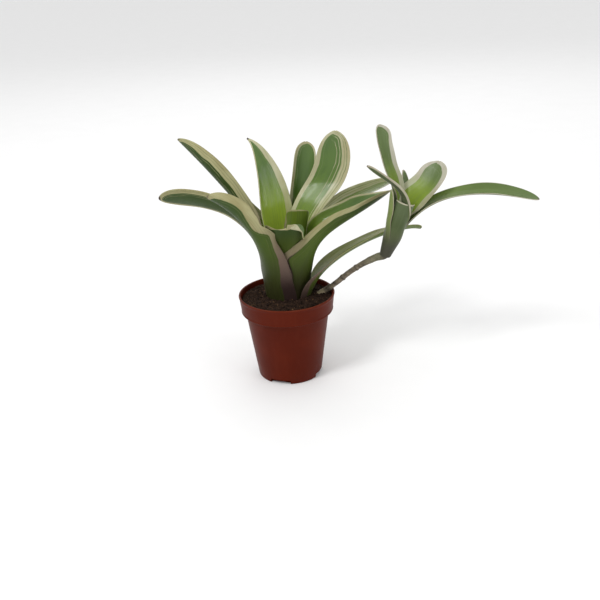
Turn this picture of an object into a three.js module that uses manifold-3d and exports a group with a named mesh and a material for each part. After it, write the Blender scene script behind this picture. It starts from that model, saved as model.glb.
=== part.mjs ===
// A small variegated neoregelia in a terracotta-coloured nursery pot, with a pup on a stolon.
// Millimetres, +Z up, and the origin is the middle of the pot's foot. -Y faces the viewer.
import * as THREE from "three";
import { mergeVertices } from "three/addons/utils/BufferGeometryUtils.js";
import Module from "manifold-3d";

const wasm = await Module();
wasm.setup();

const GAP = 0.3;

// The pot is a thin moulded shell: a tapered wall, a shoulder, and a rim band that stands proud of it.
const POT = {
  height: 50,
  rimRadius: 27.5,
  bandTopRadius: 27.2,
  bandFootRadius: 26.4,
  bandFootHeight: 39.8,
  shoulderRadius: 24,
  footRadius: 18.5,
  wall: 1,
  floor: 1.2,
  sides: 44,
  notch: { angles: [-20, 70, 160, 250], width: 12, height: 2.6, reach: 3.4 },
};

// The soil fills the pot to just under the rim and rises a little to the plant.
const SOIL = {
  edgeHeight: 47,
  mound: 1.5,
  relief: 0.45,
  rings: 9,
  sides: 44,
  holeRadius: 14.1,
  holeFloor: 40.6,
};

// The stock is the short stem in the soil, which every leaf of the large rosette stands round.
const ROSETTE = new THREE.Vector3(1, 4, 45.5);
const STOCK = { radius: 13.6, foot: 41, bud: 3, budHeight: 50.5, sides: 36 };

// The stolon leaves the stock under the soil, crosses the rim and turns up into the pup's stem.
const PUP_FOOT = new THREE.Vector3(55.2, -12, 74);
const PUP_AXIS = new THREE.Vector3(0.3, 0, 0.95).normalize();
const PUP_STEM_LENGTH = 21;
const STOLON = {
  route: [
    [8, 3.5, 43.1],
    [13, 3.1, 43.3],
    [20, 2, 47.7],
    [28, 0, 53.8],
    [35.5, -3, 61],
    [43, -6.3, 67.2],
    [50.5, -9.6, 72],
  ],
  sides: 10,
  steps: 46,
  stubRadius: 1.9,
  radius: 1.55,
  elbowRadius: 2.25,
  pupRadius: 2.05,
  budRadius: 1.8,
  nodeHeight: 0.35,
  nodes: [0.24, 0.37, 0.5],
};

// Every leaf is a blade round a midrib. Its foot stands on a ring round the rosette's axis at an azimuth
// (0 is +X, 90 is +Y) and height. It rises along a lean from the axis, bends and reaches its tip.
// wrap is half the angle that its foot takes of the ring, waist the narrowest width over the widest,
// cup the radius of the blade's gutter, and roll its turn about the midrib.
const LEAF = {
  thickness: 0.9,
  edge: 0.62,
  steps: 17,
  across: 6,
  waistAt: 0.3,
  broadAt: 0.68,
  endAt: 0.72,
  blunt: 2.4,
  round: 0.55,
  height: 0,
  ruffle: 0.25,
};
const MUCRO = 0.35;
const RUFFLES = 3;

const MOTHER_LEAVES = [
  {
    name: "leaf_heart", azimuth: 290, ring: 4.4, wrap: 75, lean: 4.5, rise: 34, bend: [7.5, 0, 87],
    tip: [8, -1, 99], width: 15, waist: 0.8, cup: 6.5, roll: -33, endAt: 0.85,
  },
  {
    name: "leaf_back_tall", azimuth: 58, ring: 5.8, wrap: 55, lean: 6, rise: 75, bend: [31.5, 22.5, 87.5],
    tip: [32, 24, 136.5], width: 21, waist: 0.75, cup: 25, roll: -1, broadAt: 0.8, endAt: 0.8,
  },
  {
    name: "leaf_back_left", azimuth: 120, ring: 7, wrap: 55, lean: 7, rise: 8, bend: [0.5, 21.5, 124],
    tip: [-18, 24, 134.5], width: 21, waist: 0.9, cup: 24, roll: -55, broadAt: 0.5, endAt: 0.5, blunt: 1.6,
    round: 0.9,
  },
  {
    name: "leaf_back", azimuth: 88, ring: 8.1, wrap: 48, lean: 8, rise: 12, bend: [15, 31, 111],
    tip: [15.5, 34, 129], width: 16.5, waist: 0.7, cup: 6.5, roll: 8, endAt: 0.85,
  },
  {
    name: "leaf_front", azimuth: 272, ring: 8.8, wrap: 50, lean: 4, rise: 34, bend: [-1, -12, 82],
    tip: [1.5, -23, 95.5], width: 21, waist: 0.8, cup: 13, roll: -12, endAt: 0.85, ruffle: 0.8,
  },
  {
    name: "leaf_left_high", azimuth: 150, ring: 9.4, wrap: 55, lean: 5, rise: 9.5, bend: [4, 20, 68.5],
    tip: [-58.5, 41, 132.5], width: 21, waist: 1.1, cup: 6, roll: 42,
  },
  {
    name: "leaf_right_back", azimuth: 20, ring: 9.8, wrap: 44, lean: 11.2, rise: 42, bend: [-1.5, 35, 76],
    tip: [64.5, 20, 108], width: 19, waist: 0.75, cup: 17, roll: -38,
  },
  {
    name: "leaf_left_low", azimuth: 177, ring: 10.5, wrap: 37, lean: 2, rise: 20, bend: [-14.5, 20, 103.5],
    tip: [-70, 19, 103.5], width: 17.5, waist: 0.7, cup: 25, roll: 50, broadAt: 0.8, endAt: 0.82,
  },
  {
    name: "leaf_right_front", azimuth: 322, ring: 11.1, wrap: 68, lean: 8, rise: 47.5, bend: [26.5, -8, 85],
    tip: [61, 7.5, 105], width: 21, waist: 1.3, cup: 9, roll: -20, waistAt: 0.55, broadAt: 0.75,
  },
  {
    name: "leaf_left_front", azimuth: 222, ring: 12.3, wrap: 72, lean: 7, rise: 20, bend: [-9.5, -26.5, 100],
    tip: [-39, -22, 115], width: 21, waist: 1, cup: 6, roll: 45, waistAt: 0.62, broadAt: 0.75,
  },
  {
    name: "leaf_right_low", azimuth: 345, ring: 12.4, height: 0.4, wrap: 42, lean: 10.5, rise: 34,
    bend: [73.5, 9.5, 84.5], tip: [79, 14, 79.5], width: 17, waist: 1, cup: 13, roll: -21,
  },
];

const PUP_LEAVES = [
  {
    name: "pup_leaf_upright", azimuth: 150, ring: 2.6, height: 19, wrap: 60, lean: 8.5, rise: 28,
    bend: [56.5, -11.5, 112], tip: [52.5, -8, 145], width: 12.5, waist: 1.1, cup: 8.5, roll: -31, endAt: 0.85,
  },
  {
    name: "pup_leaf_right", azimuth: 60, ring: 2.7, height: 13, wrap: 75, lean: 11, rise: 31.5,
    bend: [76.5, -12, 103], tip: [85.5, -4, 123], width: 18, waist: 1.05, cup: 21.5, roll: -30, endAt: 0.8,
  },
  {
    name: "pup_leaf_long", azimuth: 5, ring: 2.8, height: 6.5, wrap: 75, lean: 9, rise: 25.5,
    bend: [91, -10.5, 115], tip: [137.5, -16, 102.5], width: 11.5, waist: 0.85, cup: 6.5, roll: 22,
  },
  {
    name: "pup_leaf_left", azimuth: 265, ring: 3, height: 2, wrap: 80, lean: 10, rise: 32,
    bend: [73.5, -27.5, 108], tip: [45, -16, 125.5], width: 9, waist: 0.95, cup: 13, roll: 42,
  },
  {
    name: "pup_leaf_short", azimuth: 200, ring: 4.2, height: 3, wrap: 38, lean: 10.5, rise: 12,
    bend: [51, -16.5, 70], tip: [58, -17.5, 112.5], width: 8, waist: 0.7, cup: 6, roll: 11,
  },
  {
    name: "pup_leaf_back", azimuth: 110, ring: 3.1, height: 3, wrap: 50, lean: 12, rise: 40,
    bend: [72, -2, 87.5], tip: [67, 3, 117.5], width: 6.5, waist: 0.85, cup: 7, roll: -28,
  },
];
const PUP_LEAF_THICKNESS = 0.7;

const radians = THREE.MathUtils.degToRad;
const lerp = THREE.MathUtils.lerp;
const smooth = (x) => THREE.MathUtils.smoothstep(x, 0, 1);
const vector = (values) => new THREE.Vector3(...values);

function material(colour, roughness) {
  return new THREE.MeshStandardMaterial({ color: colour, roughness, metalness: 0 });
}

const FINISH = {
  terracotta: () => material(0x8f3a24, 0.55),
  soil: () => material(0x2a211b, 1),
  bark: () => material(0x5f5a48, 0.8),
  leaf: () => material(0x4f7a34, 0.4),
  pupLeaf: () => material(0x5d7d4a, 0.4),
};

// A solid that manifold-3d can cut and join, from a closed geometry.
function solidOf(geometry) {
  const bare = geometry.clone();
  bare.deleteAttribute("normal");
  bare.deleteAttribute("uv");
  const merged = mergeVertices(bare, 1e-4);
  const mesh = new wasm.Mesh({
    numProp: 3,
    vertProperties: Float32Array.from(merged.attributes.position.array),
    triVerts: Uint32Array.from(merged.index.array),
  });
  return new wasm.Manifold(mesh);
}

function geometryOf(solid) {
  const mesh = solid.getMesh();
  const geometry = new THREE.BufferGeometry();
  geometry.setAttribute("position", new THREE.BufferAttribute(mesh.vertProperties, 3));
  geometry.setIndex(new THREE.BufferAttribute(mesh.triVerts, 1));
  geometry.computeVertexNormals();
  return geometry;
}

// A body of revolution about Z. Each point of its outline is a radius and a height.
function turned(outline, sides) {
  const points = outline.map(([radius, height]) => new THREE.Vector2(radius, height));
  return new THREE.LatheGeometry(points, sides).rotateX(Math.PI / 2);
}

// A closed skin over rows of points: rows joined in turn, with their first and last row closed by a fan.
function skin(rows) {
  const count = rows[0].length;
  const last = rows.length - 1;
  const points = rows.flat();
  const triangles = [];
  for (let row = 0; row < last; row += 1) {
    for (let i = 0; i < count; i += 1) {
      const a = row * count + i;
      const b = row * count + ((i + 1) % count);
      triangles.push(a, b, b + count, a, b + count, a + count);
    }
  }
  for (let i = 1; i < count - 1; i += 1) {
    triangles.push(0, i + 1, i);
    triangles.push(last * count, last * count + i, last * count + i + 1);
  }
  const geometry = new THREE.BufferGeometry().setFromPoints(points);
  geometry.setIndex(triangles);
  geometry.computeVertexNormals();
  return geometry;
}

function potGeometry() {
  const { height, rimRadius, bandTopRadius, bandFootRadius, bandFootHeight, wall, floor } = POT;
  const shell = turned(
    [
      [0, 0],
      [POT.footRadius - 0.7, 0],
      [POT.footRadius, 0.8],
      [POT.shoulderRadius, bandFootHeight - 1],
      [POT.shoulderRadius + 0.7, bandFootHeight - 0.2],
      [bandFootRadius - 0.2, bandFootHeight],
      [bandFootRadius, bandFootHeight + 0.5],
      [bandTopRadius, height - 1.6],
      [rimRadius, height - 1],
      [rimRadius, height - 0.4],
      [rimRadius - 0.4, height],
      [rimRadius - 0.9, height],
      [bandTopRadius - wall, height - 1.2],
      [bandFootRadius - wall, bandFootHeight + 1.2],
      [POT.shoulderRadius - wall, bandFootHeight - 0.6],
      [POT.footRadius - wall - 0.2, floor + 0.8],
      [POT.footRadius - wall - 1, floor],
      [0, floor],
    ],
    POT.sides,
  );
  let pot = solidOf(shell);
  for (const angle of POT.notch.angles) {
    const notch = new THREE.BoxGeometry(2 * POT.notch.reach, POT.notch.width, 2 * POT.notch.height);
    notch.translate(POT.footRadius, 0, 0);
    notch.rotateZ(radians(angle));
    pot = pot.subtract(solidOf(notch));
  }
  return geometryOf(pot);
}

// Crumbly ground: a low swell and two finer ripples, which fade out at the pot's wall.
function soilHeight(x, y, radius) {
  const across = Math.hypot(x, y) / radius;
  const swell = Math.sin(0.31 * x + 0.8) * Math.cos(0.27 * y - 0.4);
  const crumb = Math.sin(1.13 * x + 0.9 * y) * Math.sin(0.97 * y - 0.6 * x + 2);
  return SOIL.mound * (1 - across ** 2) + SOIL.relief * (0.6 * swell + crumb) * (1 - across ** 4);
}

function soilGeometry() {
  const inside = POT.footRadius - POT.wall - GAP;
  const shoulder = POT.shoulderRadius - POT.wall - GAP;
  const topRadius = POT.bandTopRadius - POT.wall - GAP - 0.3;
  const surface = [];
  for (let ring = 0; ring <= SOIL.rings; ring += 1) {
    surface.push([topRadius * (1 - ring / SOIL.rings), SOIL.edgeHeight]);
  }
  const fill = turned(
    [
      [0, POT.floor + GAP],
      [inside - 1, POT.floor + GAP],
      [inside - 0.2, POT.floor + 1.4],
      [shoulder - 0.1, POT.bandFootHeight - 0.6],
      [POT.bandFootRadius - POT.wall - GAP - 0.1, POT.bandFootHeight + 1.6],
      ...surface,
    ],
    SOIL.sides,
  );
  const position = fill.attributes.position;
  for (let i = 0; i < position.count; i += 1) {
    if (position.getZ(i) > SOIL.edgeHeight - 0.01) {
      const lift = soilHeight(position.getX(i), position.getY(i), topRadius);
      position.setZ(i, SOIL.edgeHeight + lift);
    }
  }
  const depth = POT.height - SOIL.holeFloor;
  const hole = new THREE.CylinderGeometry(SOIL.holeRadius, SOIL.holeRadius, depth, 40).rotateX(Math.PI / 2);
  hole.translate(ROSETTE.x, ROSETTE.y, SOIL.holeFloor + depth / 2);
  const trench = solidOf(stolonGeometry(GAP + 0.25));
  return geometryOf(solidOf(fill).subtract(solidOf(hole)).subtract(trench));
}

function stolonRadius(along, extra) {
  const lengths = { stub: 0.14, elbow: 0.74, pup: 0.84 };
  let radius = lerp(STOLON.stubRadius, STOLON.radius, smooth((along - lengths.stub) / 0.12));
  radius = lerp(radius, STOLON.elbowRadius, smooth((along - 0.5) / (lengths.elbow - 0.5)));
  radius = lerp(radius, STOLON.pupRadius, smooth((along - lengths.elbow) / (lengths.pup - lengths.elbow)));
  radius = lerp(radius, STOLON.budRadius, smooth((along - lengths.pup) / (1 - lengths.pup)));
  for (const node of STOLON.nodes) {
    radius += STOLON.nodeHeight * Math.exp(-(((along - node) / 0.012) ** 2));
  }
  return radius + extra;
}

// A round stem of changing radius along the stolon's route and up the pup's axis.
function stolonGeometry(extra) {
  const route = STOLON.route.map(vector);
  for (const height of [0.4, 6, PUP_STEM_LENGTH]) {
    route.push(PUP_FOOT.clone().addScaledVector(PUP_AXIS, height));
  }
  const curve = new THREE.CatmullRomCurve3(route, false, "centripetal");
  const frames = curve.computeFrenetFrames(STOLON.steps);
  const rows = [];
  for (let step = 0; step <= STOLON.steps; step += 1) {
    const along = step / STOLON.steps;
    const centre = curve.getPointAt(along);
    const radius = stolonRadius(along, extra);
    const row = [];
    for (let side = 0; side < STOLON.sides; side += 1) {
      const angle = (2 * Math.PI * side) / STOLON.sides;
      const point = centre.clone().addScaledVector(frames.normals[step], radius * Math.cos(angle));
      row.push(point.addScaledVector(frames.binormals[step], radius * Math.sin(angle)));
    }
    rows.push(row);
  }
  return skin(rows);
}

function stemGeometry() {
  const top = ROSETTE.z - GAP - 0.1;
  const stock = turned(
    [
      [0, STOCK.foot],
      [STOCK.radius - 0.6, STOCK.foot],
      [STOCK.radius, STOCK.foot + 0.8],
      [STOCK.radius, top - 0.6],
      [STOCK.radius - 0.5, top],
      [STOCK.bud + 0.4, top],
      [STOCK.bud * 0.8, top + 2.4],
      [STOCK.bud * 0.4, STOCK.budHeight - 0.6],
      [0, STOCK.budHeight],
    ],
    STOCK.sides,
  );
  stock.translate(ROSETTE.x, ROSETTE.y, 0);
  return geometryOf(solidOf(stock).add(solidOf(stolonGeometry(0))));
}

// The direction in a rosette's ground plane at an azimuth.
function outward(axis, azimuth) {
  const first = new THREE.Vector3(0, 1, 0).cross(axis).normalize();
  const second = axis.clone().cross(first);
  const angle = radians(azimuth);
  return first.multiplyScalar(Math.cos(angle)).addScaledVector(second, Math.sin(angle));
}

function midrib(leaf, foot, axis, out) {
  const root = foot.clone().addScaledVector(out, leaf.ring).addScaledVector(axis, leaf.height);
  const lean = radians(leaf.lean);
  const rise = root.clone();
  rise.addScaledVector(axis, leaf.rise * Math.cos(lean));
  rise.addScaledVector(out, leaf.rise * Math.sin(lean));
  const curve = new THREE.CubicBezierCurve3(root, rise, vector(leaf.bend), vector(leaf.tip));
  curve.arcLengthDivisions = 400;
  return curve;
}

// The sheath narrows to a waist, widens to the blade and closes in a blunt round end.
function halfWidth(leaf, along) {
  const blade = leaf.width / 2;
  const sheath = leaf.ring * radians(leaf.wrap);
  const waist = blade * leaf.waist;
  const upper = smooth((along - leaf.waistAt) / (leaf.broadAt - leaf.waistAt));
  const body = along < leaf.waistAt ? lerp(sheath, waist, smooth(along / leaf.waistAt)) : lerp(waist, blade, upper);
  const end = Math.max(along - leaf.endAt, 0) / (1 - leaf.endAt);
  return Math.max(body * (1 - end ** leaf.blunt) ** leaf.round, MUCRO);
}

function leafGeometry(leaf, foot, axis) {
  const out = outward(axis, leaf.azimuth);
  const curve = midrib(leaf, foot, axis, out);
  const length = curve.getLength();
  const heading = vector(leaf.tip).sub(vector(leaf.bend)).projectOnPlane(axis).normalize();
  const sideAtFoot = axis.clone().cross(out);
  const sideAtTip = axis.clone().cross(heading);
  const rows = [];
  for (let step = 0; step <= leaf.steps; step += 1) {
    const along = 1 - (1 - step / leaf.steps) ** 1.5;
    const centre = curve.getPointAt(along);
    const tangent = curve.getTangentAt(along);
    const side = sideAtFoot.clone().lerp(sideAtTip, smooth((along - 0.1) / 0.65)).normalize();
    side.projectOnPlane(tangent).normalize();
    side.applyAxisAngle(tangent, radians(leaf.roll) * smooth((along - 0.12) / 0.6));
    const inward = tangent.clone().cross(side);
    const sheathRadius = leaf.ring + Math.tan(radians(leaf.lean)) * along * length;
    const radius = 1 / lerp(1 / sheathRadius, 1 / leaf.cup, smooth((along - 0.18) / 0.35));
    const half = halfWidth(leaf, along);
    const ripple = Math.sin(2 * Math.PI * RUFFLES * along + 1) * smooth((along - 0.1) / 0.2);
    const inner = [];
    const outer = [];
    for (let i = 0; i <= leaf.across; i += 1) {
      const t = (2 * i) / leaf.across - 1;
      const angle = (t * half) / radius;
      const sag = radius * (1 - Math.cos(angle)) + leaf.ruffle * ripple * t ** 4;
      const point = centre.clone().addScaledVector(side, radius * Math.sin(angle)).addScaledVector(inward, sag);
      const normal = inward.clone().multiplyScalar(Math.cos(angle)).addScaledVector(side, -Math.sin(angle));
      const depth = lerp(leaf.edge, leaf.thickness, 1 - t * t) / 2;
      inner.push(point.clone().addScaledVector(normal, depth));
      outer.push(point.clone().addScaledVector(normal, -depth));
    }
    rows.push([...outer, ...inner.reverse()]);
  }
  return leafSkin(rows);
}

// A leaf's rows joined, with quads split along like diagonals on both faces and the ends closed by quads.
function leafSkin(rows) {
  const count = rows[0].length;
  const last = rows.length - 1;
  const half = count / 2;
  const triangles = [];
  for (let row = 0; row < last; row += 1) {
    for (let i = 0; i < count; i += 1) {
      const a = row * count + i;
      const b = row * count + ((i + 1) % count);
      if (i < half) {
        triangles.push(a, b, b + count, a, b + count, a + count);
      } else {
        triangles.push(a, b, a + count, b, b + count, a + count);
      }
    }
  }
  for (let i = 0; i < half - 1; i += 1) {
    const low = [i, i + 1, count - 2 - i, count - 1 - i];
    const top = low.map((index) => index + last * count);
    triangles.push(low[0], low[2], low[1], low[0], low[3], low[2]);
    triangles.push(top[0], top[1], top[2], top[0], top[2], top[3]);
  }
  const geometry = new THREE.BufferGeometry().setFromPoints(rows.flat());
  geometry.setIndex(triangles);
  geometry.computeVertexNormals();
  return geometry;
}

function named(name, geometry, finish) {
  const mesh = new THREE.Mesh(geometry, finish());
  mesh.name = name;
  return mesh;
}

const plant = new THREE.Group();
plant.add(named("pot", potGeometry(), FINISH.terracotta));
plant.add(named("soil", soilGeometry(), FINISH.soil));
plant.add(named("stem_and_stolon", stemGeometry(), FINISH.bark));
for (const leaf of MOTHER_LEAVES) {
  const geometry = leafGeometry({ ...LEAF, ...leaf }, ROSETTE, new THREE.Vector3(0, 0, 1));
  plant.add(named(leaf.name, geometry, FINISH.leaf));
}
for (const leaf of PUP_LEAVES) {
  const blade = { ...LEAF, thickness: PUP_LEAF_THICKNESS, ...leaf };
  plant.add(named(leaf.name, leafGeometry(blade, PUP_FOOT, PUP_AXIS), FINISH.pupLeaf));
}

export default plant;
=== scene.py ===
"""A small variegated neoregelia in its nursery pot, with one pup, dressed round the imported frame.

The tables hold millimetres and degrees, and MM turns them into the scene's metres. +Z is up, the origin
is the middle of the pot's foot, and -Y faces the viewer.
"""

import logging
import math
import random
from dataclasses import dataclass, field
from enum import Enum
from typing import Any, Callable, Sequence

import bpy
import numpy as np
from mathutils import Matrix, Vector, noise


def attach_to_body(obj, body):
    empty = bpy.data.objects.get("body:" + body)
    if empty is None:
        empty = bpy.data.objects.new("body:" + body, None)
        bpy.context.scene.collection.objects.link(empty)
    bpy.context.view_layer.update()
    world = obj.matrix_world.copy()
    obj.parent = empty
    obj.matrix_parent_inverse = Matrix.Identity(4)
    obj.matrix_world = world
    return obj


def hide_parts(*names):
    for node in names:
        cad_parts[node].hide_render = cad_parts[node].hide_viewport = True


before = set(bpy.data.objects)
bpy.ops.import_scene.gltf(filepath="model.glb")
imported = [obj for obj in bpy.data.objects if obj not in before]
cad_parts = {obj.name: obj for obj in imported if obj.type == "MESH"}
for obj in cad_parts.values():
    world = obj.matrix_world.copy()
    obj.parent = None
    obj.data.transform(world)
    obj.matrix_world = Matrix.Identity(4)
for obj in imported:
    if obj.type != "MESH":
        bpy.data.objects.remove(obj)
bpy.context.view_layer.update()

log = logging.getLogger("neoregelia")

Array = np.ndarray
Piece = bpy.types.Object
Material = bpy.types.Material
Point = tuple[float, float, float]
Pair = tuple[float, float]
Pairs = tuple[Pair, ...]
Colour = tuple[float, float, float, float]
Scrap = tuple[Array, Array]

MM = 0.001
TURN = 2 * math.pi

# Where along a leaf something starts to grow, and over what stretch, as shares of its length
SIDE_TURNS: Pair = (0.1, 0.65)
RUFFLE_GROWS: Pair = (0.1, 0.2)
ROLL_GROWS: Pair = (0.12, 0.6)
GUTTER_GROWS: Pair = (0.18, 0.35)
COOL_GROWS: Pair = (0.55, 0.4)
CREST_GROWS: Pair = (0.75, 0.25)
MUCRO_GROWS: Pair = (0.985, 0.01)

RUFFLES = 3  # waves of a margin along a leaf
TIP_SHARE = 0.996  # a blade ends a hair inside the frame's leaf
TIP_HALF = 0.35  # half the width of a leaf's very tip, in millimetres
GRID_ACROSS = 22
GRID_ALONG = 84
CROWDING = 1.5  # how much closer a leaf's rows of faces stand toward its tip
PATTERN_STEP = 7.3  # how far apart two leaves read the noise of their pattern
CURVE_STEPS = 400
SECTION_STEPS = 48
RIM_STEPS = 220

ROSETTE_FOOT: Point = (1, 4, 45.5)
UPRIGHT: Point = (0, 0, 1)
PUP_FOOT: Point = (55.2, -12, 74)
PUP_AXIS: Point = tuple(Vector((0.3, 0, 0.95)).normalized())


def srgb(red: int, green: int, blue: int) -> Colour:
    """A colour as a screen shows it, turned into the linear values that a shader takes.

    Args:
        red: Red from 0 to 255.
        green: Green from 0 to 255.
        blue: Blue from 0 to 255.

    Returns:
        The linear colour, fully opaque.
    """

    def linear(channel: int) -> float:
        """One channel, from 0 to 255, made linear."""
        value = channel / 255
        return value / 12.92 if value <= 0.04045 else ((value + 0.055) / 1.055) ** 2.4

    return linear(red), linear(green), linear(blue), 1.0


def smooth(value: Any) -> Any:
    """A ramp from 0 to 1 with soft ends, for numbers or arrays."""
    held = np.clip(value, 0.0, 1.0)
    return held * held * (3 - 2 * held)


def grow(value: Any, start: float, stretch: float) -> Any:
    """A soft ramp from 0 at the start to 1 where the stretch ends."""
    return smooth((value - start) / stretch)


def hump(value: Any, at: float, spread: float) -> Any:
    """A soft bell that is 1 at one place and fades on both sides."""
    return np.exp(-(((value - at) / spread) ** 2))


def unit(vectors: Array) -> Array:
    """Rows of vectors, each made one long."""
    return vectors / np.linalg.norm(vectors, axis=-1, keepdims=True)


class Value:
    """A node's output, which Python expressions can add to, scale and compare."""

    def __init__(self, graph: "Graph", socket: bpy.types.NodeSocket) -> None:
        """Keeps the graph that the output belongs to, and the output."""
        self.graph = graph
        self.socket = socket

    def __add__(self, other: Any) -> "Value":
        """self + other."""
        return self.graph.math("ADD", self, other)

    __radd__ = __add__

    def __sub__(self, other: Any) -> "Value":
        """self - other."""
        return self.graph.math("SUBTRACT", self, other)

    def __rsub__(self, other: Any) -> "Value":
        """other - self."""
        return self.graph.math("SUBTRACT", other, self)

    def __mul__(self, other: Any) -> "Value":
        """self * other."""
        return self.graph.math("MULTIPLY", self, other)

    __rmul__ = __mul__

    def least(self, other: Any) -> "Value":
        """The smaller of the two."""
        return self.graph.math("MINIMUM", self, other)

    def most(self, other: Any) -> "Value":
        """The larger of the two."""
        return self.graph.math("MAXIMUM", self, other)

    def sine(self) -> "Value":
        """The sine of the value, in radians."""
        return self.graph.math("SINE", self)

    def distance_to(self, other: float) -> "Value":
        """How far the value is from a number."""
        return self.graph.math("ABSOLUTE", self - other)

    def ramp(self, low: float, high: float) -> "Value":
        """0 below low, 1 above high, and soft between; the other way round where low is above high."""
        inputs = {"Value": self, "From Min": low, "From Max": high}
        if low > high:
            inputs = {"Value": self, "From Min": high, "From Max": low, "To Min": 1.0, "To Max": 0.0}
        return self.graph.make("ShaderNodeMapRange", {"interpolation_type": "SMOOTHSTEP"}, inputs)


class Graph:
    """The nodes of one material."""

    def __init__(self, name: str) -> None:
        """Starts an empty material of that name."""
        self.material = bpy.data.materials.new(name)
        self.material.use_nodes = True
        self.tree = self.material.node_tree
        self.tree.nodes.clear()

    def make(
        self,
        kind: str,
        settings: dict[str, Any] | None = None,
        inputs: dict[Any, Any] | None = None,
        output: int | str = 0,
    ) -> Value:
        """Adds a node.

        Args:
            kind: The node's type.
            settings: Its own settings, set before its sockets.
            inputs: Values or links for its sockets, by name or number.
            output: Which of its outputs is wanted.

        Returns:
            That output.
        """
        node = self.tree.nodes.new(kind)
        for name, value in (settings or {}).items():
            setattr(node, name, value)
        for name, value in (inputs or {}).items():
            if isinstance(value, Value):
                self.tree.links.new(value.socket, node.inputs[name])
            else:
                node.inputs[name].default_value = value
        return Value(self, node.outputs[output])

    def math(self, operation: str, first: Any, second: Any = 0.0) -> Value:
        """A Math node on one or two numbers or outputs."""
        return self.make("ShaderNodeMath", {"operation": operation}, {0: first, 1: second})

    def mix(self, factor: Any, first: Any, second: Any) -> Value:
        """One colour at factor 0 and another at factor 1."""
        inputs = {"Factor": factor, 6: first, 7: second}
        return self.make("ShaderNodeMix", {"data_type": "RGBA", "clamp_factor": True}, inputs, 2)

    def attribute(self, name: str, output: str = "Fac") -> Value:
        """A named attribute of the piece's points."""
        return self.make("ShaderNodeAttribute", {"attribute_name": name}, output=output)

    def place(self) -> Value:
        """The point on the piece, in metres."""
        return self.make("ShaderNodeTexCoord", output="Object")

    def parts(self, vector: Value) -> list[Value]:
        """A vector's three numbers."""
        node = self.make("ShaderNodeSeparateXYZ", inputs={0: vector}).socket.node
        return [Value(self, node.outputs[axis]) for axis in range(3)]

    def grain(self, vector: Value, scale: float, detail: float = 2.0, roughness: float = 0.5) -> Value:
        """Cloudy noise from about 0.2 to 0.8.

        Args:
            vector: Where the noise is read.
            scale: Patches a unit of length.
            detail: Octaves of finer noise.
            roughness: How strong each finer octave is.

        Returns:
            The noise.
        """
        inputs = {"Vector": vector, "Scale": scale, "Detail": detail, "Roughness": roughness}
        return self.make("ShaderNodeTexNoise", {"noise_dimensions": "3D"}, inputs)

    def streaks(self, vector: Value, by: Point, detail: float, roughness: float = 0.5) -> Value:
        """Noise with its own number of patches a unit of length along each axis."""
        drawn = self.make("ShaderNodeVectorMath", {"operation": "MULTIPLY"}, {0: vector, 1: by})
        return self.grain(drawn, 1.0, detail, roughness)

    def cells(self, vector: Value, scale: float) -> Value:
        """The distance to the nearest of scattered points."""
        return self.make("ShaderNodeTexVoronoi", {}, {"Vector": vector, "Scale": scale})

    def finish(
        self, colour: Value, roughness: Value, height: Value, relief: float, shine: float = 0.5
    ) -> Material:
        """Closes the material with its shader and bump.

        Args:
            colour: The base colour.
            roughness: The roughness.
            height: The surface's height, from about 0 to 1.
            relief: What a height of 1 stands for, in millimetres.
            shine: The specular level, the same all over.

        Returns:
            The material.
        """
        bump = self.make("ShaderNodeBump", {}, {"Strength": 1.0, "Distance": relief * MM, "Height": height})
        inputs = {"Base Color": colour, "Roughness": roughness, "Normal": bump, "Specular IOR Level": shine}
        shader = self.make("ShaderNodeBsdfPrincipled", {}, inputs)
        end = self.tree.nodes.new("ShaderNodeOutputMaterial")
        self.tree.links.new(shader.socket, end.inputs["Surface"])
        return self.material


class Face(Enum):
    """The two faces of a leaf."""

    INNER = "inner"
    OUTER = "outer"


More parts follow.
